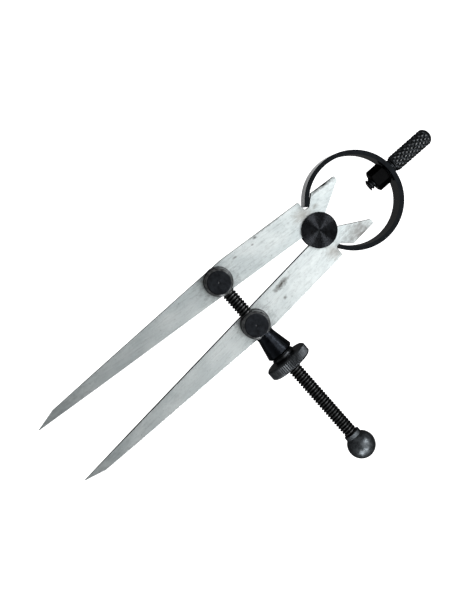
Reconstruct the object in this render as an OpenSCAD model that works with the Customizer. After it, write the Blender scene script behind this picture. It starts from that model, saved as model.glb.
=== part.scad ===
// Spring divider with flat legs: two steel legs rock on a flanged fulcrum stud,
// a bow spring hooks into a notch in each, and a screw through two swivelling
// studs sets how far the points stand apart.
// Origin: centre of the fulcrum stud's flat back face. +Y runs up to the handle,
// +X along the adjusting screw to its ball, +Z out of the front of the legs.

/* [Legs] */
// Distance from the fulcrum's centre to the points
leg_length = 150.2; // [110:0.5:200]
// Width of a leg where its edges are parallel
leg_width = 13.15; // [12:0.05:16]
// Thickness of the leg steel
leg_thickness = 4.4; // [3:0.1:6]
// Distance from the fulcrum's centre line to a leg's inner edge
leg_gap = 1.6; // [1.2:0.1:2]
// Half the angle between the two inner edges as drawn
rest_opening = 5.05; // [4:0.05:8]
// Distance below the fulcrum at which the outer edge starts to taper
taper_start = 42.3; // [38:0.1:60]
// Width left where the taper ends and the point is ground
point_width = 3.66; // [2:0.1:6]
// Length of the ground point
point_length = 9.8; // [5:0.1:15]
// Width halfway down the ground point, which makes its edge slightly round
point_mid_width = 1.95; // [1:0.05:3]
// Width of the flat left at the very end of a point
point_flat = 0.3; // [0.1:0.05:0.6]
// Length over which the front and back are ground down to the point
thin_length = 30; // [15:1:50]
// Thickness left at the very end of a point
point_thickness = 0.9; // [0.5:0.1:1.6]

/* [Ears and notches] */
// Height of the ears above the fulcrum
ear_height = 19.0; // [14:0.1:24]
// Angle of an ear's inner edge from the leg's own length
ear_angle = 34.4; // [32:0.1:38]
// How far an ear flares outside the leg's width at its top
ear_flare = 0.3; // [0:0.1:1]
// How much lower the ear's outer corner is than its inner one
ear_drop = 0.25; // [0:0.05:1]
// Clearance between the spring's end and the notch's lower and upper walls
notch_clearance = 0.3; // [0.2:0.05:0.5]
// Clearance between the spring's inner corner and the back of the notch
notch_room = 0.3; // [0.25:0.05:1]
// Fall of the notch's lower wall, for each millimetre outwards
notch_slope = 0.16; // [0.14:0.01:0.3]
// Rise of the notch's upper wall, for each millimetre outwards
notch_rise = 0.95; // [0.6:0.05:1.2]
// Size of the small bevel in the notch's lower corner
notch_corner = 0.4; // [0.1:0.1:0.6]

/* [Fulcrum stud] */
// Diameter of the stud's hub, which the legs' half-round seats rest on
hub_d = 9; // [8:0.1:10]
// Radial clearance between the hub and the seats
hub_clearance = 0.05; // [0.02:0.01:0.1]
// Diameter of the two flanges that keep the legs flat
flange_d = 15.8; // [14:0.1:18]
// Thickness of each flange
flange_thickness = 1.4; // [1:0.1:2]
// Play between the legs and what holds them from the front and back
side_play = 0.1; // [0.05:0.01:0.2]

/* [Bow spring] */
// Outside diameter of the bow
bow_d = 43.2; // [36:0.1:52]
// Thickness of the spring steel
bow_thickness = 2; // [1.6:0.1:2.2]
// Width of the bow at its crown
bow_width = 13.4; // [10:0.1:16]
// Width of the bow at its two ends
bow_end_width = 12.6; // [7:0.1:14]
// Height of the bow's centre above the fulcrum
bow_height = 19.4; // [18.8:0.1:20]
// Half the angle of the gap between the bow's ends
bow_gap = 33; // [31:0.1:36]

/* [Handle] */
// Diameter of the knurled grip
grip_d = 7.6; // [6:0.1:10]
// Length of the knurled grip
grip_length = 18.2; // [12:0.1:30]
// Diameter of the neck below the grip
neck_d = 6.8; // [6:0.1:8]
// Length of the neck
neck_length = 2.5; // [1.5:0.1:5]
// Height of the domed end
dome_height = 2.1; // [1:0.1:3]
// Diameter of the threaded stud on the handle
handle_stud_d = 5; // [4:0.1:6]
// How far that stud shows past its nut
handle_stud_end = 2.6; // [1:0.1:4]
// Clearance all round that stud in the bow and the nut
handle_clearance = 0.05; // [0.02:0.01:0.1]
// Distance across the flats of the hex nut
nut_flats = 8.9; // [8:0.1:10]
// Height of the hex nut
nut_height = 6.9; // [4:0.1:8]

/* [Swivel studs] */
// Distance from the fulcrum to the studs along a leg
stud_reach = 48.5; // [45:0.1:58]
// Distance of the studs from a leg's outer edge
stud_inset = 6.8; // [6.4:0.05:7]
// Diameter of a stud's barrel
barrel_d = 12.4; // [11:0.1:15]
// Wall left between the screw's hole and a stud's face
barrel_wall = 1.25; // [1.2:0.05:3]
// How far the flange at the foot of the barrel stands out from it
foot_rim = 0.4; // [0.1:0.1:1]
// Thickness of that flange
foot_thickness = 1.1; // [0.8:0.1:1.2]
// Depth of the groove above the flange
groove_depth = 0.5; // [0.2:0.1:0.8]
// Height of the groove
groove_height = 0.7; // [0.3:0.1:1]
// Width of the chamfer round a stud's face
face_chamfer = 1.1; // [0.5:0.1:1.5]
// Diameter of a stud's shank through the leg
shank_d = 6; // [5:0.1:7]
// Radial clearance of the shank in the leg
shank_clearance = 0.05; // [0.02:0.01:0.1]
// Diameter of the washer behind the leg
washer_d = 10; // [8:0.1:12]
// Thickness of that washer
washer_thickness = 0.9; // [0.6:0.1:1.5]
// Diameter of the riveted end behind the washer
rivet_d = 6.4; // [6:0.1:8]
// Height of the riveted end
rivet_height = 0.6; // [0.4:0.1:1]
// Diameter of the stud's end inside the washer
rivet_neck_d = 4.4; // [4:0.1:5]

/* [Adjusting screw] */
// Diameter of the screw over its thread
screw_d = 6.1; // [5:0.1:7.4]
// Height of the screw's centre line above the front of the legs
screw_lift = 4.5; // [4.45:0.05:5]
// Distance from the guide stud's centre to the ball's centre
screw_reach = 70.6; // [64:0.1:90]
// How far the screw stops short of the far side of the anchor stud
screw_setback = 0.6; // [0.2:0.1:1.5]
// Diameter of the ball on the end
ball_d = 12.6; // [10:0.1:15]
// Diameter of the collar in front of the ball
collar_d = 7.6; // [7:0.1:9]
// Distance from the ball's centre to the front of its collar
collar_reach = 6.8; // [6.6:0.1:9]
// How deep the screw goes past the ball's centre
ball_depth = 1; // [0:0.1:3]
// Radial clearance of the screw where it slides through the guide stud
slide_clearance = 0.2; // [0.1:0.05:0.4]

/* [Nut] */
// Distance from the guide stud's centre to the cone washer's large end
cone_end = 16.6; // [15:0.1:18]
// Length of the cone washer's straight end, outside the guide stud
cone_flat = 0.6; // [0.4:0.1:2]
// Diameter of the cone washer at the stud
cone_small_d = 8.4; // [7.8:0.1:8.8]
// Diameter of the cone washer at its large end
cone_large_d = 12.2; // [11.5:0.1:14]
// Width of the chamfer at the large end
cone_chamfer = 0.9; // [0.4:0.1:1.2]
// Depth of the socket in the large end that the nut turns in
socket_depth = 3.4; // [2:0.1:5]
// Clearance round the nut in that socket, and behind it
socket_clearance = 0.12; // [0.08:0.01:0.2]
// Diameter of the split nut
split_nut_d = 9.6; // [9:0.1:10.5]
// Radial clearance between the nut and the screw
thread_clearance = 0.06; // [0.02:0.01:0.1]
// Width of the slit between the nut's two halves
nut_slit = 0.4; // [0.2:0.1:0.8]
// Distance from the guide stud's centre to the knurled wheel
wheel_start = 19.1; // [18.8:0.1:22]
// Diameter of the knurled wheel
wheel_d = 20.3; // [16:0.1:24]
// Thickness of the knurled wheel
wheel_thickness = 4.8; // [3:0.1:7]
// Width of the chamfer on the wheel's rims
wheel_chamfer = 0.6; // [0.3:0.1:1]
// Diameter of the spring ring round the nut
ring_d = 10.6; // [10.2:0.1:11.4]
// Width of the spring ring
ring_width = 1.2; // [0.8:0.1:1.6]
// Depth of the groove in the nut that holds the spring ring
ring_groove = 0.5; // [0.3:0.1:0.6]

/* [Hidden] */
$fn = 96;
cut = 1;        // how far a cutting shape runs past the surface it cuts

// heights along Z
leg_back = flange_thickness + side_play;
leg_front = leg_back + leg_thickness;
leg_middle = leg_back + leg_thickness / 2;
screw_z = leg_front + screw_lift;

// the leg in its own frame, with its length along Y and the fulcrum at the origin
leg_outer = leg_gap + leg_width;
ear_inner_x = ear_height * tan(ear_angle);
taper_end = -(leg_length - point_length);

// stud centres as drawn
stud_x = leg_outer - stud_inset;
guide_x = stud_x * cos(rest_opening) + stud_reach * sin(rest_opening);
guide_y = stud_x * sin(rest_opening) - stud_reach * cos(rest_opening);

// studs
foot_d = barrel_d + 2 * foot_rim;
barrel_height = screw_lift + screw_d / 2 + barrel_wall;

// bow
bow_outer = bow_d / 2;
bow_inner = bow_outer - bow_thickness;
bow_crown = bow_height + bow_outer;

// handle stack along Y
grip_start = bow_crown + neck_length;
grip_end = grip_start + grip_length;
nut_corner = nut_flats / 2 / cos(30);
nut_top = bow_height + sqrt(bow_inner * bow_inner - nut_corner * nut_corner) - 0.01;
nut_bottom = nut_top - nut_height;

// nut stack along X, from the guide stud's centre
cone_start = barrel_d / 2 + cone_flat;
socket_floor = cone_end - socket_depth;
nut_start = socket_floor + socket_clearance;
wheel_end = wheel_start + wheel_thickness;
ring_start = (cone_end + wheel_start - ring_width) / 2;

// a cylinder along +X from x = from to x = to
module along_x(from, to, d1, d2) {
    translate([from, 0, 0])
        rotate([0, 90, 0])
            cylinder(h = to - from, d1 = d1, d2 = d2);
}

// a cylinder along +Y from y = from to y = to
module along_y(from, to, d) {
    translate([0, from, leg_middle])
        rotate([-90, 0, 0])
            cylinder(h = to - from, d = d);
}

// The two corners of the bow's end, as they sit in the leg's own frame, set the notch.
// The bow is turned by -rest_opening to bring them there.
bow_end_x = bow_outer * sin(bow_gap);
bow_end_y = bow_height - bow_outer * cos(bow_gap);
seat_x = bow_end_x * cos(rest_opening) + bow_end_y * sin(rest_opening);
seat_y = bow_end_y * cos(rest_opening) - bow_end_x * sin(rest_opening);
inner_end_x = bow_inner * sin(bow_gap);
inner_end_y = bow_height - bow_inner * cos(bow_gap);
notch_x = inner_end_x * cos(rest_opening) + inner_end_y * sin(rest_opening) - notch_room;

module notch_outline() {
    reach = leg_outer + ear_flare + cut;
    low = seat_y - notch_clearance;
    high = seat_y + bow_thickness / cos(rest_opening);
    polygon([
        [reach, low - notch_slope * (reach - seat_x)],
        [notch_x + notch_corner, low + notch_slope * (seat_x - notch_x - notch_corner)],
        [notch_x, low + notch_slope * (seat_x - notch_x) + notch_corner],
        [notch_x, high + notch_clearance - notch_rise * (seat_x - notch_x - bow_thickness / 2)],
        [reach, high + notch_clearance + notch_rise * (reach - seat_x + bow_thickness / 2)]
    ]);
}

module leg_outline() {
    difference() {
        polygon([
            [leg_gap, -leg_length],
            [leg_gap + point_flat, -leg_length],
            [leg_gap + point_mid_width, taper_end - point_length / 2],
            [leg_gap + point_width, taper_end],
            [leg_outer, -taper_start],
            [leg_outer + ear_flare, ear_height - ear_drop],
            [ear_inner_x, ear_height],
            [leg_gap, leg_gap / tan(ear_angle)]
        ]);
        circle(d = hub_d + 2 * hub_clearance);
        notch_outline();
    }
}

// Side view of a leg, Y across and Z up: parallel faces that thin to the point
module leg_side() {
    end = (leg_thickness - point_thickness) / 2;
    polygon([
        [ear_height + cut, leg_back],
        [ear_height + cut, leg_front],
        [-(leg_length - thin_length), leg_front],
        [-leg_length, leg_front - end],
        [-leg_length, leg_back + end],
        [-(leg_length - thin_length), leg_back]
    ]);
}

module leg_blank() {
    difference() {
        intersection() {
            translate([0, 0, leg_back])
                linear_extrude(height = leg_thickness)
                    leg_outline();
            translate([leg_outer + ear_flare + cut, 0, 0])
                rotate([0, -90, 0])
                    linear_extrude(height = leg_outer + ear_flare + 2 * cut)
                        rotate(90)
                            mirror([0, 1])
                                leg_side();
        }
        translate([stud_x, -stud_reach, leg_back - cut])
            cylinder(h = leg_thickness + 2 * cut, d = shank_d + 2 * shank_clearance);
    }
}

module right_leg() {
    color("silver")
        rotate(rest_opening)
            leg_blank();
}

module left_leg() {
    color("silver")
        mirror([1, 0, 0])
            rotate(rest_opening)
                leg_blank();
}

module fulcrum_stud() {
    color("dimgray") {
        cylinder(h = flange_thickness, d = flange_d);
        cylinder(h = leg_front + side_play, d = hub_d);
        translate([0, 0, leg_front + side_play])
            cylinder(h = flange_thickness, d = flange_d);
    }
}

module bow_spring() {
    deep = bow_width / 2;
    shallow = bow_end_width / 2;
    wedge = 2 * bow_outer;
    color("slategray")
        difference() {
            intersection() {
                translate([0, bow_height, leg_middle - deep])
                    linear_extrude(height = bow_width)
                        difference() {
                            circle(r = bow_outer);
                            circle(r = bow_inner);
                            polygon([
                                [0, 0],
                                [-wedge * tan(bow_gap), -wedge],
                                [wedge * tan(bow_gap), -wedge]
                            ]);
                        }
                translate([bow_d / 2 + cut, 0, leg_middle])
                    rotate([0, -90, 0])
                        linear_extrude(height = bow_d + 2 * cut)
                            polygon([
                                [deep, bow_crown],
                                [shallow, bow_end_y],
                                [-shallow, bow_end_y],
                                [-deep, bow_crown]
                            ]);
            }
            along_y(bow_height, bow_crown + cut, handle_stud_d + 2 * handle_clearance);
        }
}

module handle() {
    dome_base = grip_d / 2 - 0.2;
    dome_r = (dome_base * dome_base + dome_height * dome_height) / (2 * dome_height);
    color("darkslategray") {
        along_y(nut_bottom - handle_stud_end, bow_crown, handle_stud_d);
        along_y(bow_crown, grip_start, neck_d);
        along_y(grip_start, grip_end, grip_d);
        intersection() {
            translate([0, grip_end + dome_height - dome_r, leg_middle])
                sphere(r = dome_r);
            along_y(grip_end, grip_end + dome_height, grip_d);
        }
    }
}

module handle_nut() {
    color("black")
        difference() {
            translate([0, nut_bottom, leg_middle])
                rotate([-90, 0, 0])
                    cylinder(h = nut_height, r = nut_corner, $fn = 6);
            along_y(nut_bottom - cut, nut_top + cut, handle_stud_d + 2 * handle_clearance);
        }
}

// A stud without its cross hole, standing at the origin with its foot on the leg's front
module stud_body() {
    base = leg_front + side_play / 2;
    groove_top = foot_thickness + groove_height;
    straight = barrel_height - face_chamfer;
    tail = washer_thickness + rivet_height;
    translate([0, 0, base]) {
        cylinder(h = foot_thickness, d = foot_d);
        cylinder(h = groove_top, d = barrel_d - 2 * groove_depth);
        translate([0, 0, groove_top])
            cylinder(h = straight - groove_top, d = barrel_d);
        translate([0, 0, straight])
            cylinder(h = face_chamfer, d1 = barrel_d, d2 = barrel_d - 2 * face_chamfer);
    }
    translate([0, 0, leg_back - side_play / 2])
        cylinder(h = leg_thickness + side_play, d = shank_d);
    translate([0, 0, leg_back - side_play / 2 - tail])
        cylinder(h = tail, d = rivet_neck_d);
    translate([0, 0, leg_back - side_play / 2 - tail])
        cylinder(h = rivet_height, d = rivet_d);
}

module washer() {
    translate([0, 0, leg_back - side_play / 2 - washer_thickness])
        difference() {
            cylinder(h = washer_thickness, d = washer_d);
            translate([0, 0, -cut])
                cylinder(h = washer_thickness + 2 * cut, d = rivet_neck_d);
        }
}

module at_anchor() {
    translate([-guide_x, guide_y, 0])
        children();
}

module at_guide() {
    translate([guide_x, guide_y, 0])
        children();
}

module stud(hole_d) {
    difference() {
        stud_body();
        translate([0, 0, screw_z])
            along_x(-foot_d, foot_d, hole_d, hole_d);
    }
}

module anchor_stud() {
    color("dimgray")
        at_anchor()
            stud(screw_d);
}

module guide_stud() {
    color("dimgray")
        at_guide()
            stud(screw_d + 2 * slide_clearance);
}

module anchor_washer() {
    color("gray")
        at_anchor()
            washer();
}

module guide_washer() {
    color("gray")
        at_guide()
            washer();
}

// The screw and its ball are placed from the guide stud's centre
module adjusting_screw() {
    start = -2 * guide_x - barrel_d / 2 + screw_setback;
    color("black")
        at_guide()
            translate([0, 0, screw_z])
                along_x(start, screw_reach + ball_depth, screw_d, screw_d);
}

module screw_ball() {
    color("dimgray")
        at_guide()
            translate([0, 0, screw_z])
                difference() {
                    union() {
                        translate([screw_reach, 0, 0])
                            sphere(d = ball_d);
                        along_x(screw_reach - collar_reach, screw_reach, collar_d, collar_d);
                    }
                    along_x(screw_reach - collar_reach - cut, screw_reach + ball_depth,
                        screw_d, screw_d);
                }
}

module cone_washer() {
    socket_d = split_nut_d + 2 * socket_clearance;
    color("darkslategray")
        at_guide()
            difference() {
                translate([0, 0, screw_z])
                    difference() {
                        union() {
                            along_x(barrel_d / 4, cone_start, cone_small_d, cone_small_d);
                            along_x(cone_start, cone_end - cone_chamfer,
                                cone_small_d, cone_large_d);
                            along_x(cone_end - cone_chamfer, cone_end,
                                cone_large_d, cone_large_d - 2 * cone_chamfer);
                        }
                        along_x(0, cone_end, screw_d + 2 * slide_clearance,
                            screw_d + 2 * slide_clearance);
                        along_x(socket_floor, cone_end + cut, socket_d, socket_d);
                    }
                stud_body();
            }
}

// One half of the split nut, the front one for side = 1 and the rear one for side = -1
module half_nut(side) {
    at_guide()
        translate([0, 0, screw_z])
            difference() {
                along_x(nut_start, wheel_end, split_nut_d, split_nut_d);
                along_x(nut_start - cut, wheel_end + cut, screw_d + 2 * thread_clearance,
                    screw_d + 2 * thread_clearance);
                difference() {
                    along_x(ring_start, ring_start + ring_width, split_nut_d + 2 * cut,
                        split_nut_d + 2 * cut);
                    along_x(ring_start, ring_start + ring_width, split_nut_d - 2 * ring_groove,
                        split_nut_d - 2 * ring_groove);
                }
                translate([nut_start - cut, -split_nut_d, side > 0 ? -split_nut_d : -nut_slit / 2])
                    cube([wheel_end - nut_start + 2 * cut, 2 * split_nut_d,
                        split_nut_d + nut_slit / 2]);
            }
}

module half_nut_front() {
    color("dimgray")
        half_nut(1);
}

module half_nut_rear() {
    color("dimgray")
        half_nut(-1);
}

module nut_ring() {
    color("lightgray")
        at_guide()
            translate([0, 0, screw_z])
                difference() {
                    along_x(ring_start, ring_start + ring_width, ring_d, ring_d);
                    along_x(ring_start - cut, ring_start + ring_width + cut,
                        split_nut_d - 2 * ring_groove, split_nut_d - 2 * ring_groove);
                }
}

module knurled_wheel() {
    rim_d = wheel_d - 2 * wheel_chamfer;
    color("gray")
        at_guide()
            translate([0, 0, screw_z])
                difference() {
                    union() {
                        along_x(wheel_start, wheel_start + wheel_chamfer, rim_d, wheel_d);
                        along_x(wheel_start + wheel_chamfer, wheel_end - wheel_chamfer,
                            wheel_d, wheel_d);
                        along_x(wheel_end - wheel_chamfer, wheel_end, wheel_d, rim_d);
                    }
                    along_x(wheel_start - cut, wheel_end + cut, split_nut_d, split_nut_d);
                }
}

bow_spring();
handle();
handle_nut();
fulcrum_stud();
left_leg();
right_leg();
anchor_stud();
anchor_washer();
guide_stud();
guide_washer();
adjusting_screw();
screw_ball();
cone_washer();
half_nut_front();
half_nut_rear();
nut_ring();
knurled_wheel();
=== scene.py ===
import bpy
import bmesh
from math import asin, atan2, ceil, cos, pi, radians, sin, sqrt, tan
from mathutils import Matrix, Vector


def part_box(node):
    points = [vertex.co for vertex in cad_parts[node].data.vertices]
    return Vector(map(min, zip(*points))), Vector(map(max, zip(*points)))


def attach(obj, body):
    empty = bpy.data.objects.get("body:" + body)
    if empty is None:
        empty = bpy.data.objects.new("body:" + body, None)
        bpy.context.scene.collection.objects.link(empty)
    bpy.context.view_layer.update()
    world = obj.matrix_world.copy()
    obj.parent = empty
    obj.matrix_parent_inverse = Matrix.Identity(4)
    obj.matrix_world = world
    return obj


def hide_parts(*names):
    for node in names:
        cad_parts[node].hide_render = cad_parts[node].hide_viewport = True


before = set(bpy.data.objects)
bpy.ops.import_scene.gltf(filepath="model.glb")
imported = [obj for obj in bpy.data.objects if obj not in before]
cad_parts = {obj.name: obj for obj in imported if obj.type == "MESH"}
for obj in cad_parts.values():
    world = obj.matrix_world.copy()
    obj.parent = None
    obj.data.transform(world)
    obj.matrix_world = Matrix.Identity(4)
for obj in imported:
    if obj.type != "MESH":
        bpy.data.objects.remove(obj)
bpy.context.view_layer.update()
mm = 0.001
perMm = 1000         # a pattern's scale for patches one millimetre across
nothing = 1e-7       # points nearer than this are one point
rounding = 1e-6      # as near as a spun or rolled wall comes back to where it began
pastSurface = 1      # millimetres that one form runs on inside its neighbour, to leave no gap
ringSpacing = 0.3142    # how far apart a wave texture's rings are at a scale of 1


def toLinear(hexColour):
    # sRGB hex to the linear colour that a shader socket takes
    channels = [int(hexColour[i:i + 2], 16) / 255 for i in (1, 3, 5)]
    return tuple(c / 12.92 if c <= 0.04045 else ((c + 0.055) / 1.055) ** 2.4 for c in channels) + (1.0,)


def addNode(tree, kind, settings, stops=(), output=0):
    # settings holds properties, fixed inputs, and inputs fed by another node's output
    node = tree.nodes.new(kind)
    for key, value in settings.items():
        if isinstance(key, str) and hasattr(node, key):
            setattr(node, key, value)
        elif isinstance(value, bpy.types.NodeSocket):
            tree.links.new(value, node.inputs[key])
        else:
            node.inputs[key].default_value = value
    for index, (position, colour) in enumerate(stops):
        elements = node.color_ramp.elements
        element = elements[index] if index < 2 else elements.new(position)
        element.position = position
        element.color = toLinear(colour) if isinstance(colour, str) else (colour, colour, colour, 1.0)
    return node.outputs[output]


def startMaterial(name, metallic, roughness, **fixed):
    material = bpy.data.materials.new(name)
    material.use_nodes = True
    tree = material.node_tree
    shader = tree.nodes["Principled BSDF"]
    shader.inputs["Metallic"].default_value = metallic
    shader.inputs["Roughness"].default_value = roughness
    for socket, value in fixed.items():
        shader.inputs[socket.replace("_", " ")].default_value = value
    where = addNode(tree, "ShaderNodeTexCoord", {}, output="Object")
    return material, tree, shader, where


def place(tree, where, moved=(0, 0, 0), turned=0.0, stretch=(1, 1, 1)):
    # a pattern centred on moved (millimetres), turned about Z (degrees) and squeezed along each axis
    back = addNode(tree, "ShaderNodeVectorMath",
                   {"operation": "SUBTRACT", 0: where, 1: [part * mm for part in moved]})
    spun = addNode(tree, "ShaderNodeMapping",
                   {"vector_type": "POINT", "Vector": back, "Rotation": (0, 0, radians(-turned))})
    return addNode(tree, "ShaderNodeVectorMath", {"operation": "MULTIPLY", 0: spun, 1: stretch})


def addObject(name, bm):
    mesh = bpy.data.meshes.new(name)
    bm.to_mesh(mesh)
    bm.free()
    made = bpy.data.objects.new(name, mesh)
    bpy.context.scene.collection.objects.link(made)
    return made


def applyModifiers(piece):
    bpy.context.view_layer.update()
    result = bpy.data.meshes.new_from_object(piece.evaluated_get(bpy.context.evaluated_depsgraph_get()))
    piece.modifiers.clear()
    old = piece.data
    piece.data = result
    bpy.data.meshes.remove(old)
    result.name = piece.name


def finishPiece(name, bm, material, body, node, sharp=32, sides=None, cutter=None, upright=0.9):
    # turns a bmesh into the named piece, riding on its body in place of the CAD node
    # sides is a second material, for the faces whose normals lean less than upright towards Z;
    # cutter is a shape to take away
    piece = addObject(name, bm)
    if cutter:
        tool = addObject(name + "Cutter", cutter)
        cut = piece.modifiers.new("hole", "BOOLEAN")
        cut.object = tool
        cut.solver = "EXACT"
        applyModifiers(piece)
        bpy.data.meshes.remove(tool.data)
    for face in piece.data.polygons:
        face.use_smooth = True
    piece.data.set_sharp_from_angle(angle=radians(sharp))
    weighted = piece.modifiers.new("flatFaces", "WEIGHTED_NORMAL")
    weighted.keep_sharp = True
    weighted.weight = 100
    applyModifiers(piece)
    piece.data.materials.append(material)
    if sides:
        piece.data.materials.append(sides)
        for face in piece.data.polygons:
            face.material_index = int(abs(face.normal.z) < upright)
    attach(piece, body)
    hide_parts(node)


def closeUp(bm):
    bmesh.ops.remove_doubles(bm, verts=bm.verts, dist=nothing)
    bmesh.ops.dissolve_degenerate(bm, edges=bm.edges, dist=nothing)
    bmesh.ops.recalc_face_normals(bm, faces=bm.faces)


def markWear(bm, worn):
    # stores how rubbed each point is, from 0 to 1, where the black finish wears through first
    layer = bm.verts.layers.float.new("wear")
    for vert in bm.verts:
        vert[layer] = worn(vert.co)


def lathe(profile, matrix, steps=96, fillet=0.0, closed=False):
    # spins (along, radius) points in millimetres round Z, then moves the result into place
    bm = bmesh.new()
    points = [bm.verts.new((radius * mm, 0, along * mm)) for along, radius in profile]
    pairs = list(zip(points, points[1:])) + ([(points[-1], points[0])] if closed else [])
    for pair in pairs:
        bm.edges.new(pair)
    if fillet:
        corners = [v for v in points if len(v.link_edges) == 2]
        bmesh.ops.bevel(bm, geom=corners, offset=fillet * mm, offset_type="OFFSET", segments=3,
                        profile=0.5, affect="VERTICES", material=-1)
    bmesh.ops.spin(bm, geom=bm.verts[:] + bm.edges[:], cent=(0, 0, 0), axis=(0, 0, 1), dvec=(0, 0, 0),
                   angle=2 * pi, steps=steps, use_merge=True)
    closeUp(bm)
    bmesh.ops.transform(bm, matrix=matrix, verts=bm.verts)
    return bm


def thread(spec, start, end, matrix, perTurn=36, rubbed=1.0, crest=0.02):
    # a right-hand screw thread along Z from start to end, millimetres, with its ends capped;
    # rubbed is how far the finish has gone from the top crest millimetres of it
    outer = spec["across"] / 2
    inner = outer - spec["depth"]
    pitch = spec["pitch"]
    bm = bmesh.new()
    spare = 1.5         # turns cut off at each end
    turns = int((end - start) / pitch) + int(2 * spare)
    # how far along the pitch, and how far out: root, flank, crest and flank
    shape = [(0, inner), (0.13, inner), (0.42, outer), (0.71, outer), (1, inner)]
    points = [bm.verts.new((r * mm, 0, (start + (share - spare) * pitch) * mm)) for share, r in shape]
    for pair in zip(points, points[1:]):
        bm.edges.new(pair)
    bmesh.ops.spin(bm, geom=bm.verts[:] + bm.edges[:], cent=(0, 0, 0), axis=(0, 0, 1),
                   dvec=(0, 0, pitch * mm / perTurn), angle=2 * pi * turns, steps=turns * perTurn,
                   use_merge=False)
    bmesh.ops.remove_doubles(bm, verts=bm.verts, dist=rounding)
    for level, side in ((start, -1), (end, 1)):
        bmesh.ops.bisect_plane(bm, geom=bm.verts[:] + bm.edges[:] + bm.faces[:],
                               plane_co=(0, 0, level * mm), plane_no=(0, 0, side), clear_outer=True)
        rim = [e for e in bm.edges
               if e.is_boundary and all(abs(v.co.z - level * mm) < rounding for v in e.verts)]
        bmesh.ops.holes_fill(bm, edges=rim, sides=0)
    closeUp(bm)
    markWear(bm, lambda co: rubbed * (co.xy.length > (outer - crest) * mm))
    bmesh.ops.transform(bm, matrix=matrix, verts=bm.verts)
    return bm


def join(bm, other):
    # adds another bmesh's faces to bm
    mesh = bpy.data.meshes.new("part")
    other.to_mesh(mesh)
    other.free()
    bm.from_mesh(mesh)
    bpy.data.meshes.remove(mesh)
    return bm


def fromCad(node, bevel, sharpest=25, flattest=0.3):
    # a merged copy of a CAD node's mesh: faces within flattest degrees of each other become one,
    # and edges sharper than sharpest degrees are rounded
    bm = bmesh.new()
    bm.from_mesh(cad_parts[node].data)
    bmesh.ops.remove_doubles(bm, verts=bm.verts, dist=nothing)
    bmesh.ops.dissolve_limit(bm, angle_limit=radians(flattest), verts=bm.verts, edges=bm.edges)
    corners = [e for e in bm.edges if e.is_manifold and e.calc_face_angle() > radians(sharpest)]
    bmesh.ops.bevel(bm, geom=corners, offset=bevel * mm, offset_type="OFFSET", segments=2, profile=0.5,
                    affect="EDGES", clamp_overlap=True, material=-1)
    bmesh.ops.remove_doubles(bm, verts=bm.verts, dist=nothing)
    return bm


def centre(node):
    low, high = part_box(node)
    return (low + high) / 2 / mm


# the screw's line, the handle's line and the two studs' centres, in millimetres, from the frame
screwLow, screwHigh = (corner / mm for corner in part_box("adjusting_screw"))
screwMiddle = centre("adjusting_screw")
handleMiddle = centre("handle")
studs = {side: centre(side + "_stud") for side in ("anchor", "guide")}
alongX = Matrix.Translation(Vector((0, screwMiddle.y, screwMiddle.z)) * mm) @ Matrix.Rotation(pi / 2, 4, "Y")
alongY = Matrix.Translation(Vector((0, 0, handleMiddle.z)) * mm) @ Matrix.Rotation(-pi / 2, 4, "X")


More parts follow.
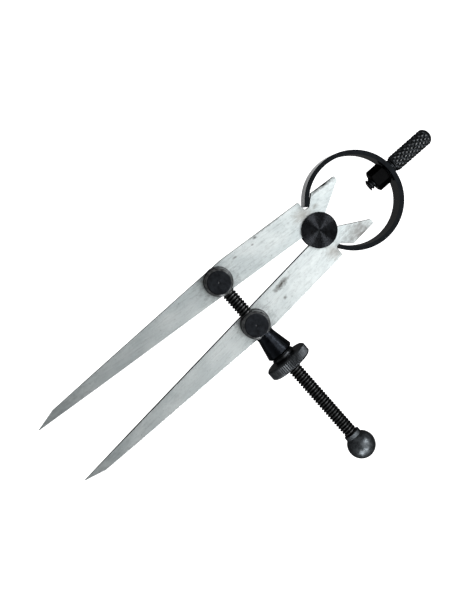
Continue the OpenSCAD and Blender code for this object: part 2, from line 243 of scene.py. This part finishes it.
def groundSteel(name, turned, stainsAndShade, ragged=1.5):
    # Carbon steel strip, surface ground and then handled for years: a bright satin face with hairlines along
    # the leg, a fine grey mottle, pinhole specks, a few brown oil stains, and patches of painted shade, some
    # mixed with grime, round the studs and along an ear beside the bow. ragged is how far the mottle breaks
    # up a patch's edge.
    material, tree, shader, where = startMaterial(name, 1.0, 0.38)
    alongLeg = place(tree, where, turned=turned, stretch=(1, 0.05, 1))
    squeezed = place(tree, where, turned=turned, stretch=(1, 0.5, 1))
    hairlines = addNode(tree, "ShaderNodeTexNoise", {"Vector": alongLeg, "Scale": perMm / 0.45, "Detail": 3})
    mottle = addNode(tree, "ShaderNodeTexNoise",
                     {"Vector": squeezed, "Scale": perMm / 1.1, "Detail": 4, "Roughness": 0.7})
    clouds = addNode(tree, "ShaderNodeTexNoise", {"Vector": squeezed, "Scale": perMm / 9, "Detail": 3})
    specks = addNode(tree, "ShaderNodeTexNoise",
                     {"Vector": where, "Scale": perMm / 0.8, "Detail": 2, "Roughness": 0.75})
    colour = addNode(tree, "ShaderNodeValToRGB", {"Fac": clouds}, [(0.35, "#cbd4d5"), (0.65, "#dfe6e6")])
    for pattern, stops, share in ((mottle, [(0.30, 0.80), (0.48, 0.95), (0.70, 1.0)], 1.0),
                                  (hairlines, [(0.33, 0.84), (0.50, 1.0)], 0.8),
                                  (specks, [(0.67, 1.0), (0.73, 0.3)], 0.8)):
        shade = addNode(tree, "ShaderNodeValToRGB", {"Fac": pattern}, stops)
        colour = addNode(tree, "ShaderNodeMix", {"data_type": "RGBA", "blend_type": "MULTIPLY",
                                                 0: share, 6: colour, 7: shade}, output=2)
    # each entry darkens a patch towards its colour; some patches are stains and some are painted shade
    for spot, size, tint, strength in stainsAndShade:
        near = place(tree, where, moved=(*spot, 0), turned=turned,
                     stretch=(perMm / size[0], perMm / size[1], 0))
        reach = addNode(tree, "ShaderNodeVectorMath", {"operation": "LENGTH", 0: near}, output="Value")
        edge = addNode(tree, "ShaderNodeMath", {"operation": "MULTIPLY_ADD", 0: mottle, 1: ragged, 2: reach})
        mask = addNode(tree, "ShaderNodeMapRange",
                       {"Value": edge, "From Min": 0.9, "From Max": 1.8, "To Min": strength, "To Max": 0.0})
        colour = addNode(tree, "ShaderNodeMix", {"data_type": "RGBA", 0: mask, 6: colour,
                                                 7: toLinear(tint)}, output=2)
    tree.links.new(colour, shader.inputs["Base Color"])
    rough = addNode(tree, "ShaderNodeMapRange", {"Value": mottle, "From Min": 0.3, "From Max": 0.7,
                                                 "To Min": 0.50, "To Max": 0.36})
    tree.links.new(rough, shader.inputs["Roughness"])
    bump = addNode(tree, "ShaderNodeBump", {"Height": hairlines, "Distance": 0.008 * mm})
    tree.links.new(bump, shader.inputs["Normal"])
    return material


def edgeSteel():
    # The sawn edges of the strip, finished with a file: their darker colour is painted shade, standing in for
    # the shade and the dark surroundings that these upright faces reflect, and it varies along the file
    # marks.
    material, tree, shader, where = startMaterial("paintedShadeEdgeSteel", 1.0, 0.34)
    upright = place(tree, where, stretch=(1, 1, 0.2))
    marks = addNode(tree, "ShaderNodeTexNoise", {"Vector": upright, "Scale": perMm / 0.5, "Detail": 3})
    colour = addNode(tree, "ShaderNodeValToRGB", {"Fac": marks}, [(0.35, "#2c2d2e"), (0.65, "#5a5c5d")])
    tree.links.new(colour, shader.inputs["Base Color"])
    bump = addNode(tree, "ShaderNodeBump", {"Height": marks, "Distance": 0.01 * mm})
    tree.links.new(bump, shader.inputs["Normal"])
    return material


def blackOxide(name, dark, light, roughness, grain=1.2, grit=0.25, depth=0.006, anisotropic=0.0,
               rings=0.0, slope=0.4, middle=(0, 0, 0), bareSteel="#9a9c9d", rubbing=0.0, cloudy=0.16):
    # Turned steel with a hot black-oxide finish: near black, a soft oily sheen, slightly mottled.
    # grain and grit are the widths in millimetres of its patches and of its roughness, depth is how
    # high the grit stands, and cloudy is how much the sheen varies from patch to patch.
    # rings is the spacing in millimetres of the lathe's tool marks on a face round Z, and slope is how
    # steep their sides are, which is what spreads each light into a bright line across the face.
    # rubbing is how far the finish has gone from the high points, where bare steel shows.
    material, tree, shader, where = startMaterial(name, 0.95, roughness, Anisotropic=anisotropic)
    patches = addNode(tree, "ShaderNodeTexNoise",
                      {"Vector": where, "Scale": perMm / grain, "Detail": 4, "Roughness": 0.6})
    colour = addNode(tree, "ShaderNodeValToRGB", {"Fac": patches}, [(0.32, dark), (0.68, light)])
    if rubbing:
        wear = addNode(tree, "ShaderNodeAttribute", {"attribute_name": "wear"}, output="Fac")
        patchy = addNode(tree, "ShaderNodeMapRange", {"Value": patches, "From Min": 0.35, "From Max": 0.62,
                                                      "To Min": rubbing * 0.3, "To Max": rubbing})
        bare = addNode(tree, "ShaderNodeMath", {"operation": "MULTIPLY", 0: wear, 1: patchy})
        colour = addNode(tree, "ShaderNodeMix", {"data_type": "RGBA", 0: bare, 6: colour,
                                                 7: toLinear(bareSteel)}, output=2)
    tree.links.new(colour, shader.inputs["Base Color"])
    height = addNode(tree, "ShaderNodeTexNoise", {"Vector": where, "Scale": perMm / grit, "Detail": 3})
    if rings:
        about = place(tree, where, moved=middle, stretch=(1, 1, 0))
        wave = addNode(tree, "ShaderNodeTexWave",
                       {"wave_type": "RINGS", "rings_direction": "Z", "wave_profile": "TRI",
                        "Vector": about, "Scale": ringSpacing * perMm / rings, "Distortion": 0.0},
                       output="Fac")
        height = addNode(tree, "ShaderNodeMath",
                         {"operation": "MULTIPLY_ADD", 0: wave, 1: rings / 2 * slope / depth, 2: height})
        across = addNode(tree, "ShaderNodeVectorMath", {"operation": "NORMALIZE", 0: about})
        tree.links.new(across, shader.inputs["Tangent"])
    rough = addNode(tree, "ShaderNodeMath",
                    {"operation": "MULTIPLY_ADD", 0: patches, 1: cloudy, 2: roughness - cloudy / 2})
    tree.links.new(rough, shader.inputs["Roughness"])
    bump = addNode(tree, "ShaderNodeBump", {"Height": height, "Distance": depth * mm})
    tree.links.new(bump, shader.inputs["Normal"])
    return material


def mottledSteel(name, dark, light, roughness, grain):
    # Bare or plated steel rubbed with oil: a cloudy mid grey with paler rubbed patches and small pits.
    # grain is the width of a cloud in millimetres, and the pits are a fifth of it.
    material, tree, shader, where = startMaterial(name, 1.0, roughness)
    clouds = addNode(tree, "ShaderNodeTexNoise",
                     {"Vector": where, "Scale": perMm / grain, "Detail": 5, "Roughness": 0.65})
    pits = addNode(tree, "ShaderNodeTexNoise",
                   {"Vector": where, "Scale": 5 * perMm / grain, "Detail": 2, "Roughness": 0.7})
    colour = addNode(tree, "ShaderNodeValToRGB", {"Fac": clouds}, [(0.33, dark), (0.67, light)])
    shade = addNode(tree, "ShaderNodeValToRGB", {"Fac": pits}, [(0.6, 1.0), (0.75, 0.55)])
    colour = addNode(tree, "ShaderNodeMix", {"data_type": "RGBA", "blend_type": "MULTIPLY",
                                             0: 0.7, 6: colour, 7: shade}, output=2)
    tree.links.new(colour, shader.inputs["Base Color"])
    bump = addNode(tree, "ShaderNodeBump", {"Height": clouds, "Distance": 0.02 * mm})
    tree.links.new(bump, shader.inputs["Normal"])
    return material


legs = dict(bevel=0.2, turn=5.05)
# each entry is its centre, its half width and half length, its colour and its strength; most are stains, and
# some are painted shade
stainsAndShade = {
    "left_leg": [((-16.1, -23.2), (0.7, 1.2), "#3f3d3b", 0.85), ((-14.4, -26.0), (0.5, 0.9), "#57534e", 0.8),
                 # the grey disc at (-12.2, -47.6), centred on the stud, is painted shade and grime round the
                 # stud's foot
                 ((-15.3, -35.5), (0.6, 1.4), "#5c5a57", 0.7), ((-12.2, -47.6), (9.5, 9.5), "#777b7c", 0.7),
                 ((-9.6, -1.1), (4.0, 6.0), "#9a948c", 0.55), ((-9.1, 5.4), (1.2, 2.2), "#77726b", 0.5),
                 # the near-black strip at (-13.9, 13.5) is painted shade along the ear's outer edge, where
                 # the bow shades it
                 ((-13.9, 13.5), (1.5, 10.0), "#141414", 1.0), ((-16.7, -17.0), (0.9, 12.0), "#3c3b39", 0.9)],
    "right_leg": [((6.7, -27.8), (1.5, 5.6), "#3a2f27", 0.95), ((13.6, 14.0), (1.1, 4.5), "#403e3c", 0.85),
                  # the grey disc at (12.2, -47.6), centred on the stud, is painted shade and grime round the
                  # stud's foot
                  ((12.3, -30.4), (0.7, 1.0), "#55504b", 0.7), ((12.2, -47.6), (9.5, 9.5), "#777b7c", 0.7),
                  ((11.6, -1.0), (4.0, 4.5), "#9a938c", 0.55), ((11.6, 12.5), (5.5, 9.0), "#848280", 0.75)],
}
# the near-black steel for the legs' upright side faces, whose colour is painted shade
paintedShadeEdges = edgeSteel()
for side, turned in (("left_leg", -legs["turn"]), ("right_leg", legs["turn"])):
    steel = groundSteel(side + "GroundSteel", turned, stainsAndShade[side])
    finishPiece(side.replace("_l", "L"), fromCad(side, legs["bevel"]), steel, side, side,
                sides=paintedShadeEdges)
print("legs made")

bow = dict(bevel=0.3)
bluedEdge = blackOxide("bluedSpringEdge", "#0e1012", "#16191c", 0.30, grain=2.5, grit=0.4)
bluedFlat = blackOxide("bluedSpringFlat", "#1f2327", "#2c3136", 0.24, grain=2.5, grit=0.4)
finishPiece("bowSpring", fromCad("bow_spring", bow["bevel"]), bluedEdge, "bow", "bow_spring",
            sides=bluedFlat)
print("bow made")

fulcrum = dict(flange=15.8, thickness=1.4, hub=9.0, dimple=0.5, dimpleSlope=0.8, fillet=0.22,
               toolMarks=0.5)
low, high = (corner.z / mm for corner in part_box("fulcrum_stud"))
edge = fulcrum["flange"] / 2
hub = fulcrum["hub"] / 2
bm = lathe([(low, 0), (low, edge), (low + fulcrum["thickness"], edge), (low + fulcrum["thickness"], hub),
            (high - fulcrum["thickness"], hub), (high - fulcrum["thickness"], edge), (high, edge),
            (high, fulcrum["dimple"]), (high - fulcrum["dimple"] * fulcrum["dimpleSlope"], 0)],
           Matrix.Identity(4), steps=128, fillet=fulcrum["fillet"])
turnedBlack = blackOxide("turnedBlackOxide", "#161719", "#242629", 0.28, grain=2.0, anisotropic=0.6,
                         rings=fulcrum["toolMarks"], slope=0.42)
finishPiece("fulcrumStud", bm, turnedBlack, "fulcrum", "fulcrum_stud")
print("fulcrum made")

stud = dict(foot=13.2, footThick=1.1, groove=0.5, grooveHigh=0.7, barrel=12.4, chamfer=1.1, shank=6.0,
            tail=4.4, rivet=6.4, rivetHigh=0.6, spot=0.55, spotSlope=0.6, fillet=0.18, toolMarks=0.45,
            play=0.05, holes=dict(anchor=3.05, guide=3.25), wornBelow=0.2, wornAbove=0.1, footWear=0.4)
washer = dict(across=10.0, thick=0.9, fillet=0.15)
# dull zinc plate: pale, with a soft sheen
washerSteel = mottledSteel("zincedWasherSteel", "#8a8c8b", "#b4b6b4", 0.4, 2.0)
legBack, legFront = (corner.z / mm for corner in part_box("left_leg"))
for side, hole in stud["holes"].items():
    middle = studs[side]
    foot = legFront + stud["play"]
    back = legBack - stud["play"]
    tail = back - washer["thick"] - stud["rivetHigh"]
    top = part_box(side + "_stud")[1].z / mm
    waist = stud["barrel"] / 2 - stud["groove"]
    wide = stud["barrel"] / 2
    grooveTop = foot + stud["footThick"] + stud["grooveHigh"]
    bm = lathe([(tail, 0), (tail, stud["rivet"] / 2), (tail + stud["rivetHigh"], stud["rivet"] / 2),
                (tail + stud["rivetHigh"], stud["tail"] / 2), (back, stud["tail"] / 2),
                (back, stud["shank"] / 2), (foot, stud["shank"] / 2), (foot, stud["foot"] / 2),
                (foot + stud["footThick"], stud["foot"] / 2),
                (foot + stud["footThick"], waist), (grooveTop, waist), (grooveTop, wide),
                (top - stud["chamfer"], wide), (top, wide - stud["chamfer"]), (top, stud["spot"]),
                (top - stud["spot"] * stud["spotSlope"], 0)],
               Matrix.Translation(Vector((middle.x, middle.y, 0)) * mm), fillet=stud["fillet"])
    wornFrom = top - stud["chamfer"] - stud["wornBelow"]
    wornTo = top - stud["wornAbove"]
    markWear(bm, lambda co: (1.0 if wornFrom < co.z / mm < wornTo
                             else stud["footWear"] * (co.z / mm < grooveTop)))
    oxide = blackOxide(side + "StudBlackOxide", "#181a1d", "#272a2e", 0.36, grain=1.6, anisotropic=0.5,
                       rings=stud["toolMarks"], slope=0.15, middle=(middle.x, middle.y, 0), rubbing=0.65)
    drill = bmesh.new()
    bmesh.ops.create_cone(drill, cap_ends=True, segments=64, radius1=hole * mm, radius2=hole * mm,
                          depth=2 * stud["foot"] * mm,
                          matrix=alongX @ Matrix.Translation((0, 0, middle.x * mm)))
    finishPiece(side + "Stud", bm, oxide, side, side + "_stud", cutter=drill)
    ring = lathe([(back, stud["tail"] / 2), (back, washer["across"] / 2),
                  (back - washer["thick"], washer["across"] / 2), (back - washer["thick"], stud["tail"] / 2)],
                 Matrix.Translation(Vector((middle.x, middle.y, 0)) * mm), fillet=washer["fillet"],
                 closed=True)
    finishPiece(side + "Washer", ring, washerSteel, side, side + "_washer")
print("studs made")

screw = dict(across=6.1, pitch=1.411, depth=0.6)
screwBlack = blackOxide("screwBlackOxide", "#0b0c0c", "#151617", 0.33, grain=0.8, grit=0.2, rubbing=0.2)
bm = thread(screw, screwLow.x, screwHigh.x, alongX)
finishPiece("adjustingScrew", bm, screwBlack, "anchor", "adjusting_screw")

ball = dict(across=12.6, collar=7.6, arc=24)
ballLow, ballHigh = (corner.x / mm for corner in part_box("screw_ball"))
ballMiddle = ballHigh - ball["across"] / 2
neck = sqrt((ball["across"] / 2) ** 2 - (ball["collar"] / 2) ** 2)
bore = screw["across"] / 2
points = [(ballMiddle + pastSurface, 0), (ballMiddle + pastSurface, bore), (ballLow, bore),
          (ballLow, ball["collar"] / 2), (ballMiddle - neck, ball["collar"] / 2)]
first = pi - asin(ball["collar"] / ball["across"])      # where the sphere meets its collar
for step in range(1, ball["arc"] + 1):
    angle = first * (1 - step / ball["arc"])
    points.append((ballMiddle + ball["across"] / 2 * cos(angle), ball["across"] / 2 * sin(angle)))
bm = lathe(points, alongX)
# case-hardened steel darkened by oil, so the ball has one soft highlight
ballSteel = mottledSteel("oiledBallSteel", "#2f3336", "#6a6f73", 0.42, 2.2)
finishPiece("screwBall", bm, ballSteel, "anchor", "screw_ball")
print("screw made")

nut = dict(cone=(8.4, 12.2), coneFlat=0.6, coneSunk=1.9, coneChamfer=0.9, socket=9.84, socketDeep=3.4,
           bore=6.5, split=9.6, slit=0.4, splitBore=6.22, ring=10.6, groove=0.5, teeth=64, perTooth=4,
           toothDeep=0.32, worn=3, fillet=0.15)
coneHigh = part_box("cone_washer")[1].x / mm
nutLow, nutHigh = (corner.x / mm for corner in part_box("half_nut_front"))
ringLow, ringHigh = (corner.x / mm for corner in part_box("nut_ring"))
wheelLow, wheelHigh = (corner.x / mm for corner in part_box("knurled_wheel"))
wheelRadius = (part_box("knurled_wheel")[1].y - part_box("knurled_wheel")[0].y) / 2 / mm
barrelEdge = studs["guide"].x + stud["barrel"] / 2
coneSmall, coneLarge = (across / 2 for across in nut["cone"])
coneEnd = barrelEdge - nut["coneSunk"]
bm = lathe([(coneEnd, nut["bore"] / 2), (coneEnd, coneSmall), (barrelEdge + nut["coneFlat"], coneSmall),
            (coneHigh - nut["coneChamfer"], coneLarge), (coneHigh, coneLarge - nut["coneChamfer"]),
            (coneHigh, nut["socket"] / 2), (coneHigh - nut["socketDeep"], nut["socket"] / 2),
            (coneHigh - nut["socketDeep"], nut["bore"] / 2)],
           alongX, fillet=nut["fillet"], closed=True)
coneBlack = blackOxide("coneBlackOxide", "#181a1e", "#2a2e34", 0.24, grain=1.8, grit=0.3)
finishPiece("coneWasher", bm, coneBlack, "guide", "cone_washer")

nutBlack = blackOxide("nutBlackOxide", "#101113", "#1d1f21", 0.36)
for half, side in (("front", 1), ("rear", -1)):
    outer = nut["split"] / 2
    waist = outer - nut["groove"]
    bore = nut["splitBore"] / 2
    bm = lathe([(nutLow, bore), (nutLow, outer), (ringLow, outer), (ringLow, waist), (ringHigh, waist),
                (ringHigh, outer), (nutHigh, outer), (nutHigh, bore)], alongX, closed=True)
    slitFace = (screwMiddle.z + side * nut["slit"] / 2) * mm
    bmesh.ops.bisect_plane(bm, geom=bm.verts[:] + bm.edges[:] + bm.faces[:], plane_co=(0, 0, slitFace),
                           plane_no=(0, 0, -side), clear_outer=True)
    bmesh.ops.holes_fill(bm, edges=[e for e in bm.edges if e.is_boundary], sides=0)
    closeUp(bm)
    finishPiece("splitNut" + half.capitalize(), bm, nutBlack, "nut", "half_nut_" + half)

inner = nut["split"] / 2 - nut["groove"]
outer = nut["ring"] / 2
bm = lathe([(ringLow, inner), (ringLow, outer), (ringHigh, outer), (ringHigh, inner)], alongX,
           fillet=nut["fillet"], closed=True)
# polished spring steel, a little lighter than the nut that it holds together
ringSteel = mottledSteel("springRingSteel", "#2e3032", "#4a4c4f", 0.3, 1.5)
finishPiece("nutRing", bm, ringSteel, "nut", "nut_ring")

wheel = dict(chamfer=0.7, bore=4.8)
bm = lathe([(wheelLow, wheel["bore"]), (wheelLow, wheelRadius - wheel["chamfer"]),
            (wheelLow + wheel["chamfer"], wheelRadius), (wheelHigh - wheel["chamfer"], wheelRadius),
            (wheelHigh, wheelRadius - wheel["chamfer"]), (wheelHigh, wheel["bore"])],
           Matrix.Identity(4), steps=nut["teeth"] * nut["perTooth"], fillet=nut["fillet"], closed=True)
for vert in bm.verts:
    radius = vert.co.xy.length
    if radius > (wheelRadius - wheel["chamfer"] / 2) * mm:
        share = atan2(vert.co.y, vert.co.x) / (2 * pi) * nut["teeth"] % 1
        vert.co.xy *= 1 - nut["toothDeep"] * mm / radius * (1 - abs(2 * share - 1))
markWear(bm, lambda co: float(co.xy.length > (wheelRadius - nut["toothDeep"] / nut["worn"]) * mm))
bmesh.ops.transform(bm, matrix=alongX, verts=bm.verts)
# the same oiled steel as the ball, with finer clouds
wheelSteel = mottledSteel("oiledWheelSteel", "#3b3e41", "#5b5e61", 0.42, 1.6)
finishPiece("knurledWheel", bm, wheelSteel, "nut", "knurled_wheel")
print("nut made")

# around and tall are the knurl's diamonds: how many go round, and the height of one; domeInset, domeStep,
# domeFoot and domeSink keep the dome just inside the grip's end
handle = dict(grip=7.6, gripLong=18.2, neck=6.8, neckLong=2.5, neckSunk=0.6, waist=0.45, grooveFrom=0.8,
              grooveTo=1.95, grooveSlope=0.35, around=11, tall=2.74, deep=0.42, flank=0.40, fine=8, worn=0.4,
              endChamfer=0.25, fillet=0.15, dome=2.1, domeInset=0.2, domeStep=0.1, domeFoot=0.35,
              domeSink=0.03, arc=12)
handleThread = dict(across=5.0, pitch=1.3, depth=0.7, gap=0.05)
handleLow, handleHigh = (corner.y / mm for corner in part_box("handle"))
gripEnd = handleHigh - handle["dome"]
gripStart = gripEnd - handle["gripLong"]
crown = gripStart - handle["neckLong"]


def knurledSleeve(spec, start, end):
    # a square lattice is pressed into pyramids, turned to stand on its corners, trimmed and rolled up
    radius = spec["grip"] / 2
    wide = pi * radius / spec["around"]
    tall = spec["tall"] / 2
    rows = (end - start) / tall
    reach = ceil((2 * spec["around"] + rows) / 4) + 1
    shift = (round((2 * spec["around"] + rows) / 4), round((2 * spec["around"] - rows) / 4))
    bm = bmesh.new()
    cells = 2 * reach * spec["fine"]
    bmesh.ops.create_grid(bm, x_segments=cells, y_segments=cells, size=reach)
    for vert in bm.verts:
        a, b = vert.co.x + shift[0], vert.co.y + shift[1]
        groove = min(abs(a - round(a)), abs(b - round(b))) / spec["flank"]
        vert.co = ((a + b) * wide, (a - b) * tall, -spec["deep"] * (1 - min(1, groove)))
    limits = (((0, 0, 0), (-1, 0, 0)), ((2 * spec["around"] * wide, 0, 0), (1, 0, 0)),
              ((0, 0, 0), (0, -1, 0)), ((0, end - start, 0), (0, 1, 0)))
    for point, normal in limits:
        bmesh.ops.bisect_plane(bm, geom=bm.verts[:] + bm.edges[:] + bm.faces[:], dist=1e-5, plane_co=point,
                               plane_no=normal, clear_outer=True)
    for vert in bm.verts:
        turn, along, relief = vert.co.x / radius, vert.co.y, vert.co.z
        fromEnd = min(along, end - start - along)
        out = min(radius + relief, radius - spec["endChamfer"] + fromEnd)
        vert.co = (out * mm * cos(turn), out * mm * sin(turn), (start + along) * mm)
    bmesh.ops.remove_doubles(bm, verts=bm.verts, dist=rounding)
    markWear(bm, lambda co: max(0, 1 - (radius - co.xy.length / mm) / (spec["worn"] * spec["deep"])))
    rims = [e for e in bm.edges if e.is_boundary]
    inner = bmesh.ops.extrude_edge_only(bm, edges=rims)["geom"]
    for vert in inner:
        if isinstance(vert, bmesh.types.BMVert):
            vert.co.xy = (0, 0)
    closeUp(bm)
    bmesh.ops.transform(bm, matrix=alongY, verts=bm.verts)
    return bm


bm = knurledSleeve(handle, gripStart, gripEnd)
domeBase = handle["grip"] / 2 - handle["domeInset"]
domeRadius = (domeBase ** 2 + handle["dome"] ** 2) / (2 * handle["dome"])
domeAngle = asin(domeBase / domeRadius)
dome = [(gripEnd - pastSurface, 0), (gripEnd - pastSurface, domeBase - handle["domeFoot"]),
        (gripEnd, domeBase - handle["domeStep"])]
for step in range(1, handle["arc"] + 1):
    angle = domeAngle * (1 - step / handle["arc"])
    dome.append((handleHigh - domeRadius + domeRadius * cos(angle),
                 (domeRadius - handle["domeSink"]) * sin(angle)))
join(bm, lathe(dome, alongY, steps=64))
neck = handle["neck"] / 2
waist = neck - handle["waist"]
grooveFrom = crown + handle["grooveFrom"]
grooveTo = crown + handle["grooveTo"]
neckEnd = gripStart + handle["neckSunk"]
join(bm, lathe([(crown, 0), (crown, neck), (grooveFrom, neck), (grooveFrom + handle["grooveSlope"], waist),
                (grooveTo - handle["grooveSlope"], waist), (grooveTo, neck), (neckEnd, neck), (neckEnd, 0)],
               alongY, steps=64, fillet=handle["fillet"]))
join(bm, thread(handleThread, handleLow, crown - handleThread["gap"], alongY, perTurn=32, rubbed=0.0))
knurledBlack = blackOxide("knurledHandleBlackOxide", "#1a1c1e", "#373a3d", 0.36, grain=1.0, grit=0.2,
                          rubbing=0.55)
finishPiece("knurledHandle", bm, knurledBlack, "bow", "handle", sharp=40)

hexNut = dict(flats=8.9, bore=5.1, chamferStart=0.94, chamferAngle=30, chamferRoom=1, sides=6)
nutBottom, nutTop = (corner.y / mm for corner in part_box("handle_nut"))
flat = hexNut["flats"] / 2
halfSide = pi / hexNut["sides"]
corner = flat / cos(halfSide)
begin = flat * hexNut["chamferStart"]
bore = hexNut["bore"] / 2
bm = lathe([(nutBottom, bore), (nutBottom, begin), (nutBottom + hexNut["chamferRoom"], corner),
            (nutTop - hexNut["chamferRoom"], corner), (nutTop, begin), (nutTop, bore)],
           Matrix.Identity(4), steps=72, closed=True)
for vert in bm.verts:
    if vert.co.xy.length > (begin + 0.01) * mm:
        turn = atan2(vert.co.y, vert.co.x) % (2 * halfSide) - halfSide
        out = flat / cos(turn)
        drop = (out - begin) * tan(radians(hexNut["chamferAngle"]))
        low = vert.co.z < (nutBottom + nutTop) / 2 * mm
        vert.co.xy *= out * mm / vert.co.xy.length
        vert.co.z = (nutBottom + drop if low else nutTop - drop) * mm
bmesh.ops.transform(bm, matrix=alongY, verts=bm.verts)
hexBlack = blackOxide("hexNutBlackOxide", "#040405", "#090a0a", 0.4)
finishPiece("handleNut", bm, hexBlack, "bow", "handle_nut")
print("handle made")

camera = dict(place=(-45.0, -42.1, 438.1), aim=(0.95, -49.0, 0), turn=48.8, lens=59.0, sensor=36,
              nearest=0.01, farthest=10)
data = bpy.data.cameras.new("camera")
data.lens = camera["lens"]
data.sensor_width = camera["sensor"]
data.clip_start = camera["nearest"]
data.clip_end = camera["farthest"]
eye = bpy.data.objects.new("camera", data)
bpy.context.scene.collection.objects.link(eye)
forward = (Vector(camera["aim"]) - Vector(camera["place"])).normalized()
upright = Vector((-sin(radians(camera["turn"])), cos(radians(camera["turn"])), 0))
up = (upright - forward * upright.dot(forward)).normalized()
right = forward.cross(up)
facing = Matrix((right, up, -forward)).transposed().to_4x4()
eye.matrix_world = Matrix.Translation(Vector(camera["place"]) * mm) @ facing
bpy.context.scene.camera = eye

floorBoard = dict(size=6000, drop=600)
bm = bmesh.new()
bmesh.ops.create_grid(bm, x_segments=1, y_segments=1, size=floorBoard["size"] / 2 * mm,
                      matrix=Matrix.Translation((0, 0, -floorBoard["drop"] * mm)))
floor = addObject("floor", bm)
# uncoated white paper, lit from behind so that it stays white under the work
paper, _, shader, _ = startMaterial("whitePaperSweep", 0.0, 0.9)
shader.inputs["Base Color"].default_value = toLinear("#f7f7f7")
shader.inputs["Emission Color"].default_value = toLinear("#ffffff")
shader.inputs["Emission Strength"].default_value = 1.0
floor.data.materials.append(paper)
floor.visible_glossy = False
print("camera and floor made")


def addSoftbox(name, place, aim, width, height, brightness):
    # brightness is the light's own radiance, so its size can change without changing how bright it looks
    lamp = bpy.data.lights.new(name, "AREA")
    lamp.shape = "RECTANGLE"
    lamp.size = width * mm
    lamp.size_y = height * mm
    lamp.energy = brightness * pi * width * height * mm * mm
    box = bpy.data.objects.new(name, lamp)
    box.location = Vector(place) * mm
    box.rotation_mode = "QUATERNION"
    box.rotation_quaternion = (Vector(aim) - Vector(place)).to_track_quat("-Z", "Y")
    bpy.context.scene.collection.objects.link(box)


addSoftbox("overheadSoftbox", (110, 340, 800), (60, 60, 0), 800, 740, 1.68)
addSoftbox("rightSoftbox", (570, 0, 560), (0, 0, 0), 240, 240, 13.0)
addSoftbox("handleSoftbox", (0, 570, 560), (0, 0, 0), 240, 240, 12.0)
addSoftbox("ballSoftbox", (180, -131, 90), (84, -47, 10), 60, 60, 12.0)

# a white card under the left of the bow, which only the upright side of the spring reflects
card = dict(inner=21.8, outer=60, height=-8, start=150, sweep=110, steps=24, brightness=0.32)
bm = bmesh.new()
edge = [bm.verts.new((radius * mm, 0, card["height"] * mm)) for radius in (card["inner"], card["outer"])]
bm.edges.new(edge)
bmesh.ops.rotate(bm, verts=bm.verts, cent=(0, 0, 0), matrix=Matrix.Rotation(radians(card["start"]), 3, "Z"))
bmesh.ops.spin(bm, geom=bm.verts[:] + bm.edges[:], cent=(0, 0, 0), axis=(0, 0, 1), dvec=(0, 0, 0),
               angle=radians(card["sweep"]), steps=card["steps"])
bowLow, bowHigh = (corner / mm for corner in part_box("bow_spring"))
bmesh.ops.translate(bm, verts=bm.verts, vec=(0, (bowHigh.y - (bowHigh.x - bowLow.x) / 2) * mm, 0))
whiteCard = addObject("whiteCard", bm)
paper, _, shader, _ = startMaterial("whiteCard", 0.0, 0.9)
shader.inputs["Emission Color"].default_value = toLinear("#ffffff")
shader.inputs["Emission Strength"].default_value = card["brightness"]
whiteCard.data.materials.append(paper)
whiteCard.visible_camera = False
whiteCard.visible_diffuse = False
whiteCard.visible_shadow = False

# the room: dark below, where the work is held over a black cloth, bright round the horizon, dimmer above
world = bpy.data.worlds.new("studio")
world.use_nodes = True
tree = world.node_tree
direction = addNode(tree, "ShaderNodeTexCoord", {}, output="Generated")
height = addNode(tree, "ShaderNodeSeparateXYZ", {0: direction}, output="Z")
shade = addNode(tree, "ShaderNodeValToRGB", {"Fac": height},
                [(0.0, 0.07), (0.05, 0.4), (0.4, 0.3), (0.8, 0.11)])
tree.links.new(shade, tree.nodes["Background"].inputs["Color"])
bpy.context.scene.world = world
bpy.context.scene.view_settings.view_transform = "Standard"
print("lights made")
